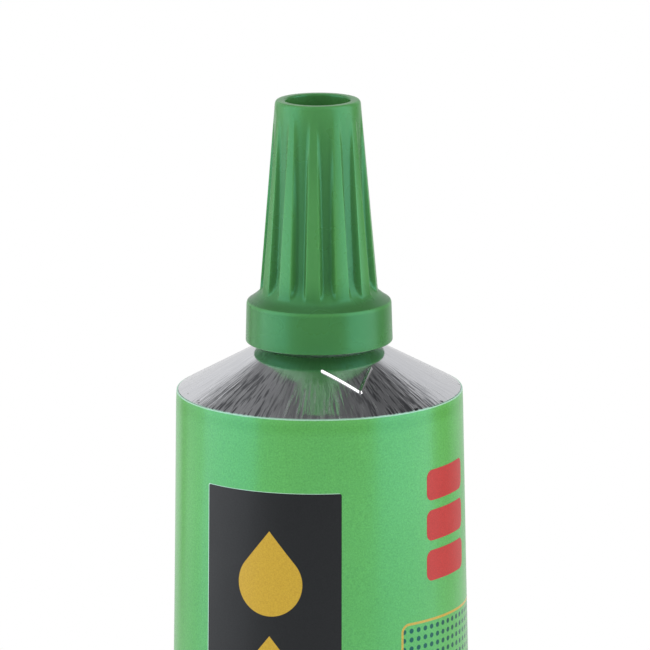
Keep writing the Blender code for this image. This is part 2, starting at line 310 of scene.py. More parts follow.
def half_sizes(share):
    """Half width and half depth of the body; the perimeter stays that of the round end."""
    flat = FOLD_FRONT / BODY_RADIUS
    curve = (1 - TAPER_STRAIGHT - flat) * share ** TAPER_POWER
    depth = BODY_RADIUS * (1 - TAPER_STRAIGHT * share - curve)
    power = math.log(2) / math.log(math.pi / 2)
    widest = math.pi * BODY_RADIUS / 2
    width = (widest ** power - depth ** power) ** (1 / power)
    return width, depth


def section(width, front, back, flatness, sharpness, angles=AROUND):
    """Outline between an ellipse and a slab with round ends."""
    points = []
    for t in angles:
        level = max(-1.0, min(1.0, sharpness * math.sin(t)))
        lift = mix(math.sin(t), level, flatness)
        points.append((width * math.cos(t), (back if lift > 0 else front) * lift))
    return points


def dent(t, share):
    """Shallow hand marks, only inwards, that fade out towards both ends."""
    wave = sum(math.sin(turns * t + along * share + start) for turns, along, start in DENT_WAVES)
    fade = clamp((share - DENT_START) * DENT_RISE) * clamp((DENT_END - share) * DENT_FALL)
    return DENT_DEPTH * fade * (wave + len(DENT_WAVES)) / (2 * len(DENT_WAVES))


def body_outline(z, inset, angles=AROUND):
    """Outline of the body at a height, at a depth below the lacquer's surface."""
    share = clamp((EDGE_Z - z) / BODY_LENGTH)
    width, depth = half_sizes(share)
    roll = clamp(1 - (EDGE_Z - z) / ROLL_HEIGHT)
    inset = inset + ROLL_DEPTH * roll ** 2
    width, depth = width - inset, depth - inset
    outline = section(width, depth, depth, share ** FLATTEN_POWER, BODY_SHARPNESS, angles)
    moved = []
    for (x, y), t in zip(outline, angles):
        shrink = 1 - dent(t, share) / max(math.hypot(x, y), depth)
        moved.append((x * shrink, y * shrink))
    return moved


def fold_outline(z, inset, layered):
    """Outline of the folded end: thicker at the back below the ledge, with two pressed lines."""
    width = half_sizes(1.0)[0] - inset
    press = sum(math.exp(-((z - line) / PRESS_WIDTH) ** 2) for line in PRESS_LINES)
    press = PRESS_DEPTH * min(1.0, press) if layered else 0.0
    front = FOLD_FRONT - inset - press
    back = (FOLD_BACK if layered else FOLD_FRONT) - inset - press
    low = clamp(1 - (z - inset) / FOLD_EDGE)
    round_off = FOLD_EDGE * (1 - math.sqrt(1 - low * low))
    sharpness = FOLD_SHARPNESS if layered else BODY_SHARPNESS
    return section(width - round_off, front - round_off, back - round_off, 1.0, sharpness)


def spread(outline):
    """Distance of each point of an outline from the middle of the front, and the whole perimeter."""
    at = [0.0]
    for i in range(1, len(outline)):
        at.append(at[-1] + math.dist(outline[i], outline[i - 1]))
    whole = at[-1] + math.dist(outline[-1], outline[0])
    return [a - whole / 2 for a in at], whole


def printed(outline, drop):
    """Places on the print in millimetres: along the perimeter and down from the edge."""
    along, whole = spread(outline)
    return [(1000 * a, 1000 * drop, 1000 * whole) for a in along]


def lift(outline, z):
    return [(x, y, z) for x, y in outline]


def body_heights(rows):
    """Heights from the fold up to the rolled edge, closer together just above the fold."""
    heights = []
    for row in range(1, rows):
        share = row / rows
        if share < EASED_SHARE:
            share -= math.sin(math.pi * share / EASED_SHARE) * EASED_SHARE / (2 * math.pi)
        heights.append(FOLD_HEIGHT + (BODY_LENGTH - ROLL_HEIGHT) * share)
    return heights


def outer_rows(inset, fold_rows, rows):
    """(outline, height) of each ring from the bottom of the fold to just below the edge."""
    ledge = FOLD_HEIGHT - inset
    result = []
    for turn in FOLD_EDGE_STEPS:
        z = inset + FOLD_EDGE * turn
        result.append((fold_outline(z, inset, True), z))
    for share in shares(fold_rows):
        z = mix(inset + FOLD_EDGE, ledge - LEDGE_DROP, share)
        result.append((fold_outline(z, inset, True), z))
    result.append((fold_outline(ledge, inset, False), ledge))
    for z in body_heights(rows):
        result.append((body_outline(z, inset), z))
    return result


def lacquer(material):
    """Lacquer on the wall and the fold: a sock with a rounded lip that is open at the shoulder."""
    skin = Skin("print")
    for outline, z in outer_rows(0.0, *FINE_ROWS):
        skin.ring(lift(outline, z), printed(outline, EDGE_Z - z))
        if z == 0.0:
            skin.lid()
    for share in shares(ROLL_ROWS):
        z = EDGE_Z - mix(ROLL_HEIGHT, LIP_ROUND, share)
        outline = body_outline(z, 0.0)
        skin.ring(lift(outline, z), printed(outline, EDGE_Z - z))
    for turn in quarter(LIP_STEPS):
        z = EDGE_Z - LIP_ROUND * (1 - math.sin(turn))
        outline = body_outline(z, LIP_ROUND * (1 - math.cos(turn)))
        skin.ring(lift(outline, z), printed(outline, EDGE_Z - z))
    outline = body_outline(EDGE_Z, COAT_THICKNESS - ROLL_DEPTH)
    skin.ring(lift(outline, EDGE_Z), printed(outline, 0.0))
    for outline, z in reversed(outer_rows(COAT_THICKNESS, *COARSE_ROWS)):
        skin.ring(lift(outline, z), printed(outline, EDGE_Z - z))
    skin.lid()
    return skin.finish("lacquered_wall", material, sharp_degrees=40)


def ink_rows(centre, half, corner):
    """(distance down from the edge, half width) of each row of a rounded rectangle, in millimetres."""
    rows = []
    for k in range(INK_CORNER_ROWS):
        turn = math.pi / 2 * k / INK_CORNER_ROWS
        rows.append((-half[1] + corner * (1 - math.cos(turn)), half[0] - corner * (1 - math.sin(turn))))
    straight = half[1] - corner
    count = max(2, round(2 * straight / INK_ROW))
    rows += [(mix(-straight, straight, share), half[0]) for share in shares(count)]
    rows += [(-down, reach) for down, reach in reversed(rows[:INK_CORNER_ROWS])]
    return [(centre[1] + down, reach) for down, reach in rows]


def ink(name, boxes, material):
    """Thin closed layers of ink on the wall, one for each (centre, half size, corner) in millimetres."""
    mesh = bmesh.new()
    print_map = mesh.loops.layers.uv.new("print")
    for centre, half, corner in boxes:
        top, under, places = [], [], []
        for down, reach in ink_rows(centre, half, corner):
            z = EDGE_Z - down / 1000
            at = [centre[0] + mix(-reach, reach, share) for share in shares(INK_COLUMNS)]
            along = spread(body_outline(z, 0.0))[0]
            angles = numpy.interp([a / 1000 for a in at], along, AROUND).tolist()
            for layer, inset in ((top, -INK_UP), (under, INK_DOWN)):
                layer.append([mesh.verts.new((x, y, z)) for x, y in body_outline(z, inset, angles)])
            places.append([(a, down) for a in at])
        close_layer(mesh, print_map, top, under, places)
    bmesh.ops.recalc_face_normals(mesh, faces=mesh.faces)
    return add_piece(name, mesh, material, sharp_degrees=40)


def close_layer(mesh, print_map, top, under, places):
    """Faces of a thin layer: upper side, underside and the walls between them."""
    last_row, last = len(top) - 1, len(top[0]) - 1
    spots = {}
    for grid in (top, under):
        for row, line in enumerate(grid):
            for k, vertex in enumerate(line):
                spots[vertex] = places[row][k]
    quads = []
    for grid in (top, under):
        for row in range(last_row):
            for k in range(last):
                quads.append((grid[row][k], grid[row][k + 1], grid[row + 1][k + 1], grid[row + 1][k]))
    for k in range(last):
        for row in (0, last_row):
            quads.append((top[row][k], top[row][k + 1], under[row][k + 1], under[row][k]))
    for row in range(last_row):
        for k in (0, last):
            quads.append((top[row][k], top[row + 1][k], under[row + 1][k], under[row][k]))
    for quad in quads:
        for corner in mesh.faces.new(quad).loops:
            corner[print_map].uv = spots[corner.vert]


def shoulder_z(radius):
    """Height of the shoulder's cone at a radius."""
    return EDGE_Z + (SHOULDER_RADIUS - radius) * SHOULDER_SLOPE


def tooth(share):
    """Height of the thread's profile, 0 to 1, at a share of the pitch."""
    return clamp(min(share, 2 * FLANK_SHARE + CREST_SHARE - share) / FLANK_SHARE)


def thread_ring(skin, angles, z, root, crest, start):
    """Ring of a right-hand thread at a height."""
    points = []
    for t in angles:
        share = ((z - start) / PITCH - t / (2 * math.pi)) % 1.0
        radius = mix(root, crest, tooth(share))
        points.append((radius * math.cos(t), radius * math.sin(t), z))
    skin.ring(points)


def bare_metal(material):
    """Wall, shoulder, threaded neck and nozzle up the outside, then down through the bore."""
    skin = Skin()
    for outline, z in outer_rows(METAL_DEPTH, *COARSE_ROWS):
        skin.ring(lift(outline, z))
        if z == METAL_DEPTH:
            skin.lid()
    skin.circle(AROUND, SHOULDER_RIM - SEAT_INSET, EDGE_Z - SEAT_DROP)
    for share in shares(SHOULDER_ROWS):
        radius = mix(SHOULDER_RIM, NECK_ROOT + NECK_FILLET, share)
        turned = max(0.0, radius - TURN_START) / (SHOULDER_RIM - TURN_START)
        skin.circle(AROUND, radius, shoulder_z(radius) - TURN_DROP * turned ** 2)
    fillet_foot = shoulder_z(NECK_ROOT + NECK_FILLET)
    for share in shares(NECK_FILLET_STEPS, 1):
        radius = NECK_ROOT + NECK_FILLET * (1 - share) ** 2
        skin.circle(AROUND, radius, mix(fillet_foot, EDGE_Z + THREAD_FOOT, share))
    neck_top = EDGE_Z + NECK_TOP
    chamfer_across, chamfer_tall = NECK_CHAMFER
    for share in shares(NECK_ROWS, 1):
        z = mix(EDGE_Z + THREAD_FOOT, neck_top - chamfer_tall, share)
        thread_ring(skin, AROUND, z, NECK_ROOT, NECK_CREST, EDGE_Z + THREAD_FOOT)
    skin.circle(AROUND, NECK_ROOT - chamfer_across, neck_top)
    skin.circle(AROUND, NOZZLE_BASE + NOZZLE_FILLET, neck_top)
    nozzle_top = EDGE_Z + NOZZLE_TOP
    for share in shares(NOZZLE_ROWS):
        skin.circle(AROUND, mix(NOZZLE_BASE, NOZZLE_TIP, share),
                    mix(neck_top + NOZZLE_FILLET, nozzle_top - NOZZLE_LIP, share))
    for turn in quarter(NOZZLE_LIP_STEPS):
        skin.circle(AROUND, NOZZLE_TIP - NOZZLE_LIP * (1 - math.cos(turn)),
                    nozzle_top - NOZZLE_LIP * (1 - math.sin(turn)))
    skin.circle(AROUND, BORE_TIP, nozzle_top)
    skin.circle(AROUND, BORE_BASE, neck_top)
    skin.circle(AROUND, NECK_BORE, neck_top - SHOULDER_WALL)
    skin.circle(AROUND, NECK_BORE, shoulder_z(NECK_BORE) - SHOULDER_WALL)
    inner_edge = BODY_RADIUS - CAVITY_DEPTH - ROLL_DEPTH
    skin.circle(AROUND, inner_edge, shoulder_z(inner_edge) - SHOULDER_WALL)
    for share in shares(CAVITY_ROWS, 1):
        z = EDGE_Z - BODY_LENGTH * mix(CAVITY_START, CAVITY_END, share)
        skin.ring(lift(body_outline(z, CAVITY_DEPTH), z))
    skin.lid()
    return skin.finish("bare_metal_tube", material, sharp_degrees=40)


def mark_path():
    """Points of the V in plan, with a rounded foot, each with the ridge's size and lean there."""
    corners = []
    for radius, degrees in MARK_CORNERS:
        angle = math.radians(degrees)
        corners.append(Vector((radius * math.sin(angle), -radius * math.cos(angle))))
    first, foot, last = corners
    down = (foot - first).normalized()
    up = (last - foot).normalized()
    start = foot - down * MARK_FILLET
    end = foot + up * MARK_FILLET
    left, right = MARK_LEAN
    path = [(first - down * reach, size, left) for reach, size in MARK_ENDS]
    path += [(first.lerp(start, share), 1.0, left) for share in shares(MARK_STEPS)[:-1]]
    for share in shares(MARK_FILLET_STEPS):
        spot = start.lerp(foot, share).lerp(foot.lerp(end, share), share)
        path.append((spot, 1.0, mix(left, right, share)))
    path += [(end.lerp(last, share), 1.0, right) for share in shares(MARK_STEPS, 1)]
    return path + [(last + up * reach, size, right) for reach, size in reversed(MARK_ENDS)]


def raised_mark(material):
    """V-shaped ridge with steep outer walls that follows the shoulder's cone, sunk a little into it."""
    path = mark_path()
    skin = Skin()
    tilt = math.atan(SHOULDER_SLOPE)
    for i, (spot, size, lean) in enumerate(path):
        run = path[min(i + 1, len(path) - 1)][0] - path[max(i - 1, 0)][0]
        outwards = spot.normalized() * math.sin(tilt)
        normal = Vector((outwards.x, outwards.y, math.cos(tilt)))
        along = Vector((run.x, run.y, -SHOULDER_SLOPE * run.dot(spot.normalized())))
        aside = along.cross(normal).normalized()
        centre = Vector((spot.x, spot.y, shoulder_z(spot.length)))
        profile = [(out * (lean if out > 0 else 1.0), rise) for out, rise in MARK_PROFILE]
        skin.ring([centre + aside * (out * size) + normal * (rise * size) for out, rise in profile])
        if i == 0:
            skin.lid()
    skin.lid()
    return skin.finish("shoulder_mark", material, sharp_degrees=50)


# Screw cap


def rib_radius(height):
    """Radius of the straight cone that the ribs' tops lie on."""
    share = (height - CONE_FOOT) / (CONE_TOP - CONE_FOOT)
    return mix(CONE_FOOT_RADIUS, CONE_TOP_RADIUS, share)


def floor_radius(height):
    """Radius of the flutes' floors: it leaves the cone at their heads and flares out to the collar."""
    if height > FLUTE_HEAD:
        return rib_radius(height)
    if height > FLARE_HEAD:
        share = (FLUTE_HEAD - height) / (FLUTE_HEAD - FLARE_HEAD)
        full = rib_radius(FLARE_HEAD) - FLUTE_FLOOR_RADIUS
        return rib_radius(height) - full * (1 - (1 - share) ** FLUTE_RUN_OUT)
    share = (FLARE_HEAD - height) / (FLARE_HEAD - COLLAR_TOP)
    reach = COLLAR_HEAD_RADIUS - COLLAR_SHOULDER - FLUTE_FLOOR_RADIUS
    return FLUTE_FLOOR_RADIUS + reach * share ** FLARE_POWER


def soft_max(a, b):
    """The larger of two values, with a soft change from one to the other."""
    return (a + b + math.sqrt((a - b) ** 2 + BLEND ** 2)) / 2


def flute_columns(radius):
    """(angle, place across a groove from -1 to 1, or None on a rib) of every column at a radius."""
    mouth = math.asin(FLUTE_WIDTH / 2 / radius)
    step = 2 * math.pi / FLUTES
    bevel = LAND_BEVEL / radius
    columns = []
    for flute in range(FLUTES):
        centre = FLUTE_START + step * flute
        for i in range(GROOVE_POINTS):
            across = -math.cos(math.pi * i / (GROOVE_POINTS - 1))
            columns.append((centre + mouth * across, across))
        for i in range(LAND_POINTS):
            share = i / (LAND_POINTS - 1)
            columns.append((centre + mix(mouth + bevel, step - mouth - bevel, share), None))
    return columns


def cone_painted_shading(height):
    """Painted light and shade of the cone as a whole: painted light towards its rim, painted shade at the
    foot of the flare.
    """
    rim_lit = clamp((height - RIM_LIGHT_FOOT) / (CONE_TOP - RIM_LIGHT_FOOT))
    deep = clamp((FLARE_SHADE_TOP - height) / (FLARE_SHADE_TOP - FLARE_SHADE_FULL))
    return RIM_PAINTED_LIGHT * rim_lit - FLARE_SHADE * deep


def fluted_ring(height):
    """Points of the fluted cone at a height, and the painted light and shade of each."""
    floor = floor_radius(height)
    rib = rib_radius(height)
    if height < FLARE_HEAD:
        rib = soft_max(rib, floor)
    depth = max(0.0, rib - floor)
    drop = BEVEL_DROP * clamp(depth / BEVEL_DEPTH)
    fade_foot, fade_head = FLUTE_FADE
    shade = clamp(depth / FLUTE_FULL) * clamp((height - fade_foot) / (fade_head - fade_foot))
    points, places = [], []
    for t, across in flute_columns(rib):
        radius = rib
        sunk = 0.0
        if across is not None:
            sunk = math.sin(math.pi / 2 * clamp((1 - abs(across)) / FLUTE_WALL))
            radius = rib - drop - (depth - drop) * sunk
        points.append((radius * math.cos(t), radius * math.sin(t), EDGE_Z + height))
        # Painted light on the ribs and painted shade in the flutes, plus the cone's painted light and
        # shade
        places.append(((1 - 2 * sunk) * shade + cone_painted_shading(height), 0.0, 0.0))
    return points, places


def fluted_cap(material):
    """Spike and recess, over the rim, down the fluted cone and collar, then up the thread and bore."""
    # The map "flute" carries the cap's painted light and shade
    skin = Skin("flute")
    angles = [t for t, across in flute_columns(CONE_TOP_RADIUS)]
    wide = [t for t, across in flute_columns(COLLAR_RADIUS)]
    skin.circle(angles, SPIKE_RADIUS * SPIKE_BLUNT, EDGE_Z + SPIKE_TIP - SPIKE_CROWN)
    skin.tip(EDGE_Z + SPIKE_TIP)
    for share in shares(SPIKE_ROWS, 1):
        skin.circle(angles, SPIKE_RADIUS * mix(SPIKE_BLUNT, 1.0, share),
                    EDGE_Z + mix(SPIKE_TIP - SPIKE_CROWN, RECESS_FLOOR, share))
    skin.circle(angles, RECESS_FOOT_RADIUS - RECESS_FILLET, EDGE_Z + RECESS_FLOOR)
    rim_round = LIP_RADIUS - RECESS_RADIUS
    for share in shares(RECESS_ROWS):
        skin.circle(angles, mix(RECESS_FOOT_RADIUS, RECESS_RADIUS, share),
                    EDGE_Z + mix(RECESS_FLOOR + RECESS_FILLET, CAP_TOP - rim_round, share))
    for turn in quarter(RECESS_LIP_STEPS):
        skin.circle(angles, LIP_RADIUS - rim_round * math.cos(turn),
                    EDGE_Z + CAP_TOP - rim_round * (1 - math.sin(turn)))
    # Painted light on the rim
    skin.circle(angles, RIM_RADIUS, EDGE_Z + CAP_TOP, RIM_PAINTED_LIGHT)
    for turn in quarter(RIM_STEPS):
        skin.circle(angles, mix(RIM_RADIUS, CONE_TOP_RADIUS, math.sin(turn)),
                    EDGE_Z + mix(CONE_TOP, CAP_TOP, math.cos(turn)), RIM_PAINTED_LIGHT)
    for share in shares(CONE_ROWS, 1):
        skin.ring(*fluted_ring(mix(CONE_TOP, FLARE_HEAD, share)))
    for share in shares(FLARE_ROWS, 1):
        skin.ring(*fluted_ring(mix(FLARE_HEAD, COLLAR_TOP, share)))
    across, tall = COLLAR_ROUND
    lean = math.asin((COLLAR_TOP - COLLAR_ROUND_FOOT) / tall)
    for share in shares(COLLAR_ROUND_STEPS, 1):
        turn = lean * (1 - share)
        # Painted highlight along the collar's corner
        painted_shading = CORNER_PAINTED_HIGHLIGHT * math.sin(math.pi * share)
        skin.circle(wide, COLLAR_HEAD_RADIUS - across * (1 - math.cos(turn)),
                    EDGE_Z + COLLAR_ROUND_FOOT + tall * math.sin(turn), painted_shading)
    for share in shares(COLLAR_ROWS, 1):
        skin.circle(wide, mix(COLLAR_HEAD_RADIUS, COLLAR_RADIUS, share),
                    EDGE_Z + mix(COLLAR_ROUND_FOOT, COLLAR_FOOT + FOOT_BEVEL, share))
    for turn in quarter(FOOT_BEVEL_STEPS):
        # Painted light on the foot bevel and the underside
        painted_shading = UNDERSIDE_PAINTED_LIGHT * turn / (math.pi / 2)
        skin.circle(wide, COLLAR_RADIUS - FOOT_BEVEL * (1 - math.cos(turn)),
                    EDGE_Z + COLLAR_FOOT + FOOT_BEVEL * (1 - math.sin(turn)), painted_shading)
    skin.circle(wide, SOCKET_MOUTH, EDGE_Z + COLLAR_FOOT, UNDERSIDE_PAINTED_LIGHT)
    foot = EDGE_Z + COLLAR_FOOT + SOCKET_LEAD
    for share in shares(SOCKET_ROWS):
        z = mix(foot, EDGE_Z + SOCKET_TOP, share)
        thread_ring(skin, wide, z, SOCKET_ROOT, SOCKET_CREST, EDGE_Z + THREAD_FOOT - PITCH / 2)
    skin.circle(wide, CAP_BORE_FOOT, EDGE_Z + SOCKET_TOP)
    skin.circle(wide, CAP_BORE_HEAD, EDGE_Z + CAP_BORE_TOP)
    skin.lid()
    return skin.finish("fluted_screw_cap", material, sharp_degrees=45)


# Materials


class Graph:
    """Short ways to add nodes to a material's or the world's tree."""

    def __init__(self, tree):
        self.tree = tree
        self.shader = tree.nodes.get("Principled BSDF")

    def feed(self, socket, value):
        if isinstance(value, bpy.types.NodeSocket):
            self.tree.links.new(value, socket)
        else:
            socket.default_value = value

    def paint(self, **values):
        """Sets or links sockets of the shader; an underscore stands for a space."""
        for name, value in values.items():
            self.feed(self.shader.inputs[name.replace("_", " ")], value)

    def node(self, kind, inputs=None, **settings):
        made = self.tree.nodes.new(kind)
        for name, value in settings.items():
            setattr(made, name, value)
        for name, value in (inputs or {}).items():
            self.feed(made.inputs[name], value)
        return made

    def math(self, operation, a, b=0.0, clamped=False):
        made = self.node("ShaderNodeMath", {0: a, 1: b}, operation=operation, use_clamp=clamped)
        return made.outputs[0]

    def times(self, a, b):
        return self.math("MULTIPLY", a, b)

    def minus(self, a, b):
        return self.math("SUBTRACT", a, b)

    def absolute(self, a):
        return self.math("ABSOLUTE", a)

    def vector(self, operation, a, b, output="Vector"):
        return self.node("ShaderNodeVectorMath", {0: a, 1: b}, operation=operation).outputs[output]

    def ramp(self, value, low, high):
        """0 up to low, 1 from high on, straight between."""
        settings = {"Value": value, "From Min": low, "From Max": high}
        return self.node("ShaderNodeMapRange", settings, clamp=True).outputs[0]

    def spread(self, value, low, high):
        """Low at 0, high at 1, straight between."""
        settings = {"Value": value, "To Min": low, "To Max": high}
        return self.node("ShaderNodeMapRange", settings, clamp=True).outputs[0]

    def colour(self, share, a, b, blend="MIX"):
        made = self.node("ShaderNodeMix", data_type="RGBA", blend_type=blend)
        self.feed(made.inputs[0], share)
        self.feed(made.inputs[6], a)
        self.feed(made.inputs[7], b)
        return made.outputs[2]

    def noise(self, vector, scale, detail=2.0, roughness=0.5):
        inputs = {"Vector": vector, "Scale": scale, "Detail": detail, "Roughness": roughness}
        return self.node("ShaderNodeTexNoise", inputs).outputs[0]

    def bump(self, height, distance, strength, normal=None):
        inputs = {"Height": height, "Distance": distance, "Strength": strength}
        if normal:
            inputs["Normal"] = normal
        return self.node("ShaderNodeBump", inputs).outputs[0]

    def place(self):
        return self.node("ShaderNodeTexCoord").outputs["Object"]

    def split(self, vector):
        return self.node("ShaderNodeSeparateXYZ", {0: vector}).outputs

    def rounded_box(self, u, v, centre, half, radius):
        """Signed distance to a rounded rectangle."""
        x = self.absolute(self.minus(u, centre[0]))
        x = self.minus(x, half[0] - radius)
        y = self.absolute(self.minus(v, centre[1]))
        y = self.minus(y, half[1] - radius)
        outer_x = self.math("MAXIMUM", x, 0.0)
        outer_y = self.math("MAXIMUM", y, 0.0)
        squares = self.math("ADD", self.math("POWER", outer_x, 2.0), self.math("POWER", outer_y, 2.0))
        inner = self.math("MINIMUM", self.math("MAXIMUM", x, y), 0.0)
        return self.minus(self.math("ADD", self.math("SQRT", squares), inner), radius)

    def inside(self, distance, soft=0.03):
        """1 where a signed distance is negative."""
        return self.ramp(distance, soft / 2, -soft / 2)


def rgba(red, green, blue):
    return (red, green, blue, 1.0)


def new_material(name):
    material = bpy.data.materials.new(name)
    material.use_nodes = True
    return material, Graph(material.node_tree)


ENAMEL = rgba(0.137, 0.455, 0.102)
ENAMEL_DEEP = rgba(0.123, 0.417, 0.089)
ENAMEL_SHADE_BAND = rgba(0.117, 0.402, 0.078)
PALE_WEAR_AND_HIGHLIGHT = rgba(0.42, 0.68, 0.50)
PANEL_BLACK = rgba(0.016, 0.017, 0.018)
PRINT_YELLOW = rgba(0.58, 0.37, 0.035)
PRINT_RED = rgba(0.50, 0.040, 0.035)
PRINT_DARK = rgba(0.020, 0.080, 0.045)
PRINT_PALE = rgba(0.55, 0.80, 0.62)
CAP_GREEN = rgba(0.068, 0.235, 0.063)
CAP_GREEN_DEEP = rgba(0.062, 0.218, 0.058)
PAINTED_LIGHT_GREEN = rgba(0.091, 0.298, 0.083)
PAINTED_SHADE_GREEN = rgba(0.060, 0.207, 0.060)
FLARE_PAINTED_SHADE_GREEN = rgba(0.050, 0.165, 0.046)
METAL_DIM = rgba(0.78, 0.79, 0.83)
METAL_BRIGHT = rgba(0.91, 0.92, 0.96)
MARK_DIM = rgba(0.82, 0.82, 0.84)
MARK_BRIGHT = rgba(0.95, 0.95, 0.94)
SPECK_DARK = rgba(0.05, 0.05, 0.055)
REFLECTION_STREAK_GREY = rgba(0.13, 0.14, 0.16)
FLOOR_DIM = rgba(0.80, 0.80, 0.80)
FLOOR_PALE = rgba(0.86, 0.86, 0.86)
BLACK = rgba(0, 0, 0)
WHITE = rgba(1, 1, 1)

# Painted dark reflection streaks in two fans either side of the front: the middle between them, the fans'
# limits as cosines from it, and strength
REFLECTION_STREAK_TURN = math.radians(-15.5)
REFLECTION_STREAK_MIDDLE = (math.sin(REFLECTION_STREAK_TURN), -math.cos(REFLECTION_STREAK_TURN), 0.0)
REFLECTION_STREAK_OUTER = (0.46, 0.60)
REFLECTION_STREAK_INNER = (0.99, 0.90)
REFLECTION_STREAK_START = (0.0058, 0.0070)
REFLECTION_STREAK_SHARE = 0.75

# Print, in millimetres along the perimeter from the middle of the front and down from the edge
PANEL_CENTRE = (-6.83, 25.76)
PANEL_HALF = (5.53, 20.0)
PANEL_CORNER = 0.15
PANEL_SLIP = (0.07, 0.04)
DROP_COUNT = 4
DROP_FIRST = 11.96
DROP_STEP = 8.2
DROP_RADIUS = 2.55
DROP_TIP = 4.1
DROP_SINK = 0.9
BAR_COUNT = 3
BAR_FIRST = (8.87, 6.05)
BAR_STEP = 3.15
BAR_HALF = (2.75, 1.2)
BAR_CORNER = 0.6
DOTS_CENTRE = (9.6, 31.0)
DOTS_HALF = (5.9, 14.4)
DOTS_CORNER = 0.6
DOTS_LINE = 0.1
DOT_STEP = 0.70
DOT_RADIUS = 0.20
DOT_SOFT = 0.06
BACK_CENTRE = (0.0, 45.0)
BACK_HALF = (11.0, 33.0)
BACK_CORNER = 1.2
BACK_LINE = 0.14
HALF_PERIMETER = 1000 * math.pi * BODY_RADIUS
PANEL_BOXES = ((PANEL_CENTRE, PANEL_HALF, PANEL_CORNER),)
BAR_PLACES = [(BAR_FIRST[0], BAR_FIRST[1] + k * BAR_STEP) for k in range(BAR_COUNT)]
BAR_BOXES = [(place, BAR_HALF, BAR_CORNER) for place in BAR_PLACES]

# Painted shade on the lacquer, lower down the wall and in a band below the edge; millimetres down from
# the edge
SHADE_DOWN = (2.0, 16.0)
SHADE_DOWN_SHARE = 0.25
BAND_START = (0.25, 0.6)
BAND_END = (1.45, 0.9)
BAND_SHARE = 0.8
# Painted highlight along the lip and wear along the foot: where each starts and ends, how ragged it is,
# and the strength of the wear
LIP_HIGHLIGHT = (0.115, 0.075)
LIP_HIGHLIGHT_RAGGED = 0.05
FOOT_WEAR = (102.05, 102.25)
FOOT_RAGGED = 0.5
FOOT_WEAR_SHARE = 0.7
ENAMEL_GRAIN = 0.14
INK_GRAIN = 0.12
# Fine bumps in the lacquer and in the ink on it: scale, depth and strength
PEEL_SCALE = 1600.0
PEEL_DEPTH = 0.00002
PEEL_STRENGTH = 0.35


def drops(graph, u, v):
    """Mask of a column of plain drops with their points up."""
    across = graph.absolute(graph.minus(u, PANEL_CENTRE[0]))
    start = DROP_FIRST - DROP_STEP / 2
    cell = graph.math("FLOORED_MODULO", graph.minus(v, start), DROP_STEP)
    up = graph.minus(DROP_SINK + DROP_STEP / 2, cell)
    squares = graph.math("ADD", graph.math("POWER", across, 2.0), graph.math("POWER", up, 2.0))
    reach = graph.math("SQRT", squares)
    ball = graph.inside(graph.minus(reach, DROP_RADIUS))
    slope = DROP_RADIUS / math.sqrt(DROP_TIP ** 2 - DROP_RADIUS ** 2)
    edge = graph.times(graph.minus(DROP_TIP, up), slope)
    cone = graph.inside(graph.minus(across, edge))
    above = graph.math("GREATER_THAN", up, DROP_RADIUS ** 2 / DROP_TIP)
    drop = graph.math("MAXIMUM", ball, graph.times(cone, above))
    first = graph.math("GREATER_THAN", v, start)
    last = graph.math("LESS_THAN", v, start + DROP_COUNT * DROP_STEP)
    return graph.times(drop, graph.times(first, last))


def dots(graph, u, v):
    """Mask of a square grid of dots."""
    squares = []
    for place in (u, v):
        cell = graph.math("FLOORED_MODULO", place, DOT_STEP)
        squares.append(graph.math("POWER", graph.minus(cell, DOT_STEP / 2), 2.0))
    reach = graph.math("SQRT", graph.math("ADD", squares[0], squares[1]))
    return graph.inside(graph.minus(reach, DOT_RADIUS), DOT_SOFT)


def print_place(graph):
    """Place on the print: along the perimeter and down from the edge."""
    return graph.split(graph.node("ShaderNodeUVMap", uv_map="print").outputs[0])[:2]


def speckle(graph, colour, place, amount):
    """Fine grain over a colour."""
    grain = graph.noise(place, 9000.0, 2.0)
    grey = graph.colour(graph.ramp(grain, 0.3, 0.7), BLACK, WHITE)
    return graph.colour(amount, colour, grey, "OVERLAY")


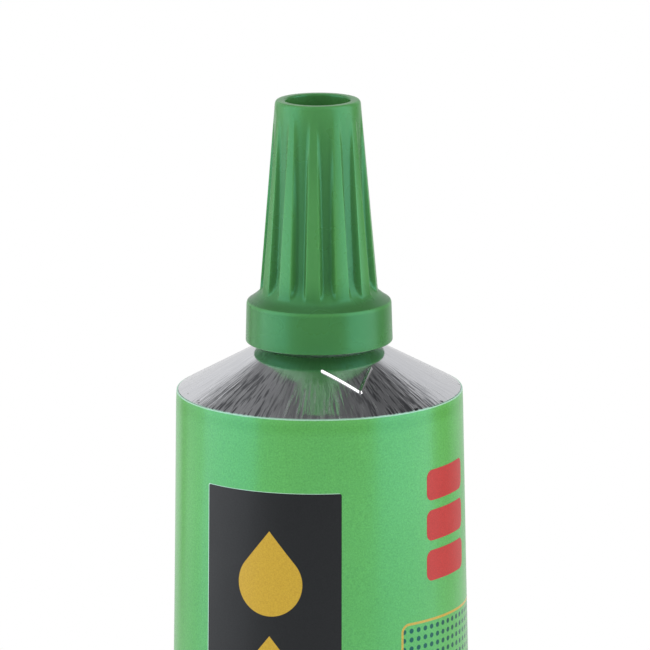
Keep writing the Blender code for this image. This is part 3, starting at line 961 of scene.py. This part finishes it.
def green_enamel():
    """Green pearl lacquer with a plain print, painted shade lower down and below the edge, a painted
    highlight along the lip and pale wear along the foot.
    """
    material, graph = new_material("green_enamel_fine")
    place = graph.place()
    u, v = print_place(graph)
    broad = graph.noise(place, 90.0, 3.0)
    # Painted shade: the lacquer darker lower down the wall
    lower = graph.spread(graph.ramp(v, *SHADE_DOWN), -SHADE_DOWN_SHARE, SHADE_DOWN_SHARE)
    tone = graph.math("ADD", graph.ramp(broad, 0.35, 0.65), lower, clamped=True)
    colour = graph.colour(tone, ENAMEL, ENAMEL_DEEP)
    # Painted shade in a band just below the edge
    band = graph.times(graph.ramp(v, *BAND_START), graph.ramp(v, *BAND_END))
    colour = graph.colour(graph.times(band, BAND_SHARE), colour, ENAMEL_SHADE_BAND)

    slipped = (PANEL_CENTRE[0] - PANEL_SLIP[0], PANEL_CENTRE[1] - PANEL_SLIP[1])
    gap = graph.rounded_box(u, v, slipped, PANEL_HALF, PANEL_CORNER)
    colour = graph.colour(graph.inside(gap), colour, PRINT_PALE)

    block = graph.rounded_box(u, v, DOTS_CENTRE, DOTS_HALF, DOTS_CORNER)
    dotted = graph.times(graph.inside(block), dots(graph, u, v))
    colour = graph.colour(dotted, colour, PRINT_DARK)
    frame_line = graph.inside(graph.minus(graph.absolute(block), DOTS_LINE))
    colour = graph.colour(frame_line, colour, PRINT_YELLOW)

    behind = graph.minus(HALF_PERIMETER, graph.absolute(u))
    blank = graph.rounded_box(behind, v, BACK_CENTRE, BACK_HALF, BACK_CORNER)
    blank_line = graph.inside(graph.minus(graph.absolute(blank), BACK_LINE))
    colour = graph.colour(blank_line, colour, PRINT_PALE)

    # Painted highlight along the lip; pale wear along the foot
    ragged_edge = graph.noise(place, 1400.0, 3.0)
    lip = graph.ramp(graph.math("ADD", v, graph.times(ragged_edge, LIP_HIGHLIGHT_RAGGED)), *LIP_HIGHLIGHT)
    foot = graph.ramp(graph.math("ADD", v, graph.times(ragged_edge, FOOT_RAGGED)), *FOOT_WEAR)
    wear_and_highlight = graph.math("MAXIMUM", lip, graph.times(foot, FOOT_WEAR_SHARE))
    colour = graph.colour(wear_and_highlight, colour, PALE_WEAR_AND_HIGHLIGHT)

    graph.paint(Base_Color=speckle(graph, colour, place, ENAMEL_GRAIN))
    graph.paint(Roughness=graph.spread(graph.ramp(broad, 0.3, 0.7), 0.20, 0.26))
    peel = graph.noise(place, PEEL_SCALE, 2.0)
    graph.paint(Normal=graph.bump(peel, PEEL_DEPTH, PEEL_STRENGTH))
    graph.paint(IOR=1.5, Specular_IOR_Level=1.0, Specular_Tint=rgba(0.05, 0.64, 0.82))
    return material


def print_ink():
    """Opaque satin ink: black with yellow drops on the left of the print, red on the right."""
    material, graph = new_material("print_ink_fine")
    place = graph.place()
    u, v = print_place(graph)
    colour = graph.colour(drops(graph, u, v), PANEL_BLACK, PRINT_YELLOW)
    colour = graph.colour(graph.math("GREATER_THAN", u, 0.0), colour, PRINT_RED)
    graph.paint(Base_Color=speckle(graph, colour, place, INK_GRAIN))
    broad = graph.noise(place, 250.0, 3.0)
    graph.paint(Roughness=graph.spread(graph.ramp(broad, 0.3, 0.7), 0.30, 0.38))
    peel = graph.noise(place, PEEL_SCALE, 2.0)
    graph.paint(Normal=graph.bump(peel, PEEL_DEPTH, PEEL_STRENGTH))
    graph.paint(IOR=1.45, Specular_IOR_Level=0.4, Specular_Tint=rgba(0.88, 0.92, 1.0))
    return material


def around(graph):
    """Direction from the axis in plan, and the distance from it."""
    x, y, z = graph.split(graph.place())
    flat = graph.node("ShaderNodeCombineXYZ", {0: x, 1: y}).outputs[0]
    return graph.vector("NORMALIZE", flat, (0, 0, 0)), graph.vector("LENGTH", flat, (0, 0, 0), "Value")


def radial_noise(graph, way, radius, turns, radius_scale, detail):
    """Noise drawn out from the axis, with no seam."""
    wx, wy, _ = graph.split(way)
    spot = graph.node("ShaderNodeCombineXYZ", {
        0: graph.times(wx, turns),
        1: graph.times(wy, turns),
        2: graph.times(radius, radius_scale),
    })
    return graph.noise(spot.outputs[0], 1.0, detail)


def bare_aluminium():
    """Bright metal with radial streaks, two fans of painted dark reflection streaks, and dark specks
    along the rim.
    """
    material, graph = new_material("bare_aluminium_fine")
    way, radius = around(graph)
    streak = radial_noise(graph, way, radius, 70.0, 800.0, 3.0)
    groove = radial_noise(graph, way, radius, 36.0, 380.0, 2.0)
    tone = graph.math("ADD", graph.times(streak, 0.45), graph.times(groove, 0.55))
    colour = graph.colour(graph.ramp(tone, 0.36, 0.60), METAL_DIM, METAL_BRIGHT)
    # Painted reflection: dark streaks in two fans either side of the front
    fan_streak = radial_noise(graph, way, radius, 44.0, 620.0, 2.0)
    facing = graph.vector("DOT_PRODUCT", way, REFLECTION_STREAK_MIDDLE, "Value")
    painted_streaks = graph.times(graph.ramp(facing, *REFLECTION_STREAK_OUTER), graph.ramp(facing, *REFLECTION_STREAK_INNER))
    painted_streaks = graph.times(painted_streaks, graph.ramp(radius, *REFLECTION_STREAK_START))
    painted_streaks = graph.times(painted_streaks, graph.ramp(fan_streak, 0.50, 0.60))
    colour = graph.colour(graph.times(painted_streaks, REFLECTION_STREAK_SHARE), colour, REFLECTION_STREAK_GREY)
    speck = graph.noise(graph.place(), 1500.0, 2.0)
    rim = graph.ramp(radius, 0.0103, 0.0108)
    dark = graph.times(graph.ramp(speck, 0.66, 0.70), rim)
    colour = graph.colour(dark, colour, SPECK_DARK)
    graph.paint(Base_Color=colour)
    rough = graph.spread(graph.ramp(radius, 0.0058, 0.0080), 0.15, 0.30)
    rough = graph.spread(graph.ramp(tone, 0.47, 0.66), 0.10, rough)
    neck = graph.ramp(radius, 0.0050, 0.0044)
    graph.paint(Roughness=graph.spread(neck, rough, 0.42))
    depth = graph.spread(graph.ramp(radius, 0.0055, 0.0085), 0.15, 1.0)
    graph.paint(Normal=graph.bump(groove, 0.00003, depth))
    graph.paint(Metallic=1.0)
    return material


def pressed_aluminium():
    """Bright metal of the raised mark, smoothed by the press."""
    material, graph = new_material("pressed_aluminium_fine")
    place = graph.place()
    grain = graph.noise(place, 1800.0, 3.0)
    graph.paint(Base_Color=graph.colour(grain, MARK_DIM, MARK_BRIGHT))
    graph.paint(Roughness=graph.spread(grain, 0.12, 0.24))
    graph.paint(Normal=graph.bump(graph.noise(place, 5000.0, 2.0), 0.00001, 0.3))
    graph.paint(Metallic=1.0)
    return material


def green_plastic():
    """Smooth moulded plastic with faint flow marks, painted light on the ribs and painted shade in the
    flutes.
    """
    material, graph = new_material("green_plastic_fine")
    place = graph.place()
    flow = graph.noise(place, 350.0, 3.0)
    colour = graph.colour(graph.ramp(flow, 0.3, 0.7), CAP_GREEN, CAP_GREEN_DEEP)
    painted_shading = graph.split(graph.node("ShaderNodeUVMap", uv_map="flute").outputs[0])[0]
    # Painted light on the ribs, rim, underside and collar corner; painted shade in the flutes and at the
    # flare's foot
    colour = graph.colour(graph.ramp(painted_shading, 0.0, 1.0), colour, PAINTED_LIGHT_GREEN)
    colour = graph.colour(graph.ramp(painted_shading, 0.0, -1.0), colour, PAINTED_SHADE_GREEN)
    colour = graph.colour(graph.ramp(painted_shading, -1.0, -1.6), colour, FLARE_PAINTED_SHADE_GREEN)
    graph.paint(Base_Color=colour)
    graph.paint(Roughness=graph.spread(graph.ramp(flow, 0.3, 0.7), 0.25, 0.31))
    skin = graph.noise(place, 2500.0, 2.0)
    graph.paint(Normal=graph.bump(skin, 0.00002, 0.15))
    graph.paint(IOR=1.5, Specular_IOR_Level=0.75, Specular_Tint=rgba(0.20, 0.90, 0.72))
    graph.paint(Subsurface_Weight=0.3, Subsurface_Radius=(1.0, 1.0, 1.0), Subsurface_Scale=0.0006)
    return material


def plain_stuff(name, low, high, roughness, metallic, scale):
    """Material of a hidden piece: two tones of one colour with a fine grain."""
    material, graph = new_material(name)
    grain = graph.noise(graph.place(), scale, 4.0)
    colour = graph.colour(graph.ramp(grain, 0.3, 0.7), rgba(*low), rgba(*high))
    graph.paint(Base_Color=colour)
    graph.paint(Roughness=graph.spread(grain, roughness - 0.06, roughness + 0.06))
    graph.paint(Normal=graph.bump(grain, 0.00002, 0.3))
    graph.paint(Metallic=metallic)
    return material


# Studio

FORWARD = Vector((math.sin(CAMERA_TURN), -math.cos(CAMERA_TURN), 0.0))
RIGHT = Vector((math.cos(CAMERA_TURN), math.sin(CAMERA_TURN), 0.0))
CENTRE = Vector((0.0, 0.0, EDGE_Z + AIM_HEIGHT))

# Brightness that reflections see: angle from the camera's side, positive to its right, and level
LIGHT_ABOVE = (
    (-180, 0.70), (-128, 0.68), (-100, 0.66), (-52, 0.60), (-36, 0.35), (-26, 0.13),
    (34, 0.13), (38, 0.30), (42, 0.66), (96, 0.66), (103, 0.40), (108, 0.12),
    (134, 0.12), (142, 0.60), (180, 0.64),
)
LIGHT_BELOW = (
    (-180, 0.75), (-147, 0.75), (-143, 0.20), (-135, 0.20), (-131, 0.78), (-118, 0.85),
    (-106, 0.70), (-70, 0.66), (-52, 0.55), (-36, 0.33), (-26, 0.12), (34, 0.12),
    (38, 0.25), (50, 0.72), (70, 0.75), (98, 0.45), (104, 0.35), (109, 0.10),
    (112, 0.00), (124, 0.00), (128, 0.25), (135, 0.45), (144, 0.60), (180, 0.75),
)
HORIZON = (math.sin(math.radians(-2)), math.sin(math.radians(5)))
# Dark ceiling behind the tube: its levels and its limits to the sides, up and back
CEILING_LEFT = 0.21
CEILING_RIGHT = 0.105
CEILING_MIDDLE = 0.10
CEILING_CORE = 0.05
CEILING_SIDE = 0.28
CEILING_RISE = (math.sin(math.radians(29.5)), math.sin(math.radians(38.5)))
CEILING_LIFT = 0.064
CEILING_BACK = (0.05, -0.25)
CEILING_WIDE = (0.64, 0.48)
FILL_LIGHT = 0.765
LAMP_LEVEL = 1.22
LAMP_DISTANCE = 0.6
LAMP_HEIGHT = 1.4
# Lamps: name, and the middle and half of the angle that each spans
SOFTBOXES = (("left_softbox", -77.0, 27.0), ("right_softbox", 73.0, 27.0))
FLOOR_RADIUS = 0.34
FLOOR_SIDES = 96
FLOOR_FADE = (0.07, 0.26)


def light_ring(graph, angle, stops):
    """Grey level by the angle round the tube."""
    level = graph.node("ShaderNodeValToRGB", {"Fac": graph.ramp(angle, -math.pi, math.pi)})
    marks = level.color_ramp.elements
    while len(marks) < len(stops):
        marks.new(0.5)
    for mark, (degrees, value) in zip(marks, stops):
        mark.position = (degrees + 180) / 360
        mark.color = rgba(value, value, value)
    return level.outputs[0]


def studio_world():
    """White behind the tube, an even fill, and rings of grey and a dark ceiling for reflections."""
    world = bpy.data.worlds.new("studio")
    bpy.context.scene.world = world
    world.use_nodes = True
    graph = Graph(world.node_tree)
    background = world.node_tree.nodes["Background"]
    way = graph.node("ShaderNodeTexCoord").outputs["Generated"]
    ahead = graph.vector("DOT_PRODUCT", way, tuple(FORWARD), "Value")
    aside = graph.vector("DOT_PRODUCT", way, tuple(RIGHT), "Value")
    angle = graph.math("ARCTAN2", aside, ahead)
    height = graph.split(way)[2]
    high = graph.ramp(height, *HORIZON)
    below = light_ring(graph, angle, LIGHT_BELOW)
    level = graph.colour(high, below, light_ring(graph, angle, LIGHT_ABOVE))
    right = graph.ramp(aside, -CEILING_SIDE, CEILING_SIDE)
    risen = graph.minus(height, graph.times(right, CEILING_LIFT))
    roof = graph.times(graph.ramp(risen, *CEILING_RISE), graph.ramp(ahead, *CEILING_BACK))
    away = graph.absolute(aside)
    roof = graph.times(roof, graph.ramp(away, *CEILING_WIDE))
    ceiling = graph.spread(right, CEILING_LEFT, CEILING_RIGHT)
    ceiling = graph.spread(graph.ramp(away, CEILING_CORE, CEILING_SIDE), CEILING_MIDDLE, ceiling)
    mirrored = graph.colour(roof, level, ceiling)
    light = graph.node("ShaderNodeLightPath").outputs
    seen = graph.colour(light["Is Glossy Ray"], rgba(FILL_LIGHT, FILL_LIGHT, FILL_LIGHT), mirrored)
    clear = graph.math("MAXIMUM", light["Is Camera Ray"], light["Is Transmission Ray"])
    graph.feed(background.inputs["Color"], graph.colour(clear, seen, WHITE))


def softbox(name, middle_degrees, half_degrees):
    """Upright rectangular lamp that spans an angle as seen from the tube."""
    width = 2 * LAMP_DISTANCE * math.tan(math.radians(half_degrees))
    data = bpy.data.lights.new(name, "AREA")
    data.shape = "RECTANGLE"
    data.size = width
    data.size_y = LAMP_HEIGHT
    data.energy = LAMP_LEVEL * math.pi * width * LAMP_HEIGHT
    lamp = bpy.data.objects.new(name, data)
    angle = math.radians(middle_degrees)
    way = FORWARD * math.cos(angle) + RIGHT * math.sin(angle)
    lamp.location = CENTRE + way * LAMP_DISTANCE
    lamp.rotation_euler = way.to_track_quat("Z", "Y").to_euler()
    lamp.visible_camera = False
    bpy.context.collection.objects.link(lamp)


def pale_floor():
    """Pale disc that keeps the shadow near the tube and fades to the white of the background."""
    material, graph = new_material("pale_floor")
    place = graph.place()
    grain = graph.noise(place, 400.0, 3.0)
    graph.paint(Base_Color=graph.colour(grain, FLOOR_DIM, FLOOR_PALE))
    graph.paint(Roughness=0.8)
    white = graph.node("ShaderNodeEmission", {"Color": WHITE, "Strength": 1.0})
    far = graph.ramp(graph.vector("LENGTH", place, (0, 0, 0), "Value"), *FLOOR_FADE)
    light = graph.node("ShaderNodeLightPath").outputs
    share = graph.times(far, light["Is Camera Ray"])
    blend = graph.node("ShaderNodeMixShader", {0: share, 1: graph.shader.outputs[0], 2: white.outputs[0]})
    graph.feed(material.node_tree.nodes["Material Output"].inputs["Surface"], blend.outputs[0])
    mesh = bmesh.new()
    bmesh.ops.create_circle(mesh, cap_ends=True, cap_tris=True, radius=FLOOR_RADIUS,
                            segments=FLOOR_SIDES)
    floor = add_piece("floor", mesh, material, sharp_degrees=30)


def studio_camera():
    """Camera at the photograph's angle, turned a little about its own axis."""
    data = bpy.data.cameras.new("camera")
    data.sensor_width = 36.0
    data.lens = CAMERA_LENS
    data.clip_start = 0.01
    data.clip_end = 20.0
    camera = bpy.data.objects.new("camera", data)
    way = FORWARD * math.cos(CAMERA_RISE) + Vector((0.0, 0.0, math.sin(CAMERA_RISE)))
    turn = way.to_track_quat("Z", "Y").to_matrix().to_4x4()
    place = Matrix.Translation(CENTRE + RIGHT * AIM_RIGHT + way * CAMERA_DISTANCE)
    camera.matrix_world = place @ turn @ Matrix.Rotation(CAMERA_ROLL, 4, "Z")
    bpy.context.collection.objects.link(camera)
    bpy.context.scene.camera = camera


# Hidden solids: name of the material, its two tones, roughness, metal or not, and scale of the grain
HIDDEN = {
    "cap_liner": ("liner_foam_fine", (0.78, 0.78, 0.76), (0.88, 0.88, 0.86), 0.60, 0.0, 4000.0),
    "nozzle_membrane": ("membrane_foil_fine", (0.58, 0.59, 0.61), (0.72, 0.73, 0.75), 0.35, 1.0, 3000.0),
    "gel_fill": ("clear_gel_fine", (0.76, 0.78, 0.70), (0.84, 0.86, 0.78), 0.15, 0.0, 300.0),
    "end_sealant": ("cream_sealant_fine", (0.56, 0.49, 0.35), (0.66, 0.59, 0.44), 0.70, 0.0, 1500.0),
}


def dress():
    """Builds the fine pieces, puts each on its body, and gives the hidden solids their materials."""
    inks = print_ink()
    pieces = (
        (lacquer(green_enamel()), "tube", "green_enamel", "enamel_coat"),
        (bare_metal(bare_aluminium()), "tube", "bare_aluminium", "aluminium_tube"),
        (raised_mark(pressed_aluminium()), "tube", "bare_aluminium", None),
        (ink("panel_ink", PANEL_BOXES, inks), "tube", "green_enamel", None),
        (ink("bar_ink", BAR_BOXES, inks), "tube", "green_enamel", None),
        (fluted_cap(green_plastic()), "cap", "green_plastic", "screw_cap"),
    )
    for piece, body, slot, node in pieces:
        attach(piece, body)
        if node:
            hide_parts(node)
    for node, looks in HIDDEN.items():
        material = plain_stuff(*looks)
        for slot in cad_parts[node].material_slots:
            slot.material = material


dress()
studio_world()
for lamp in SOFTBOXES:
    softbox(*lamp)
pale_floor()
studio_camera()
bpy.context.scene.view_settings.view_transform = "Standard"
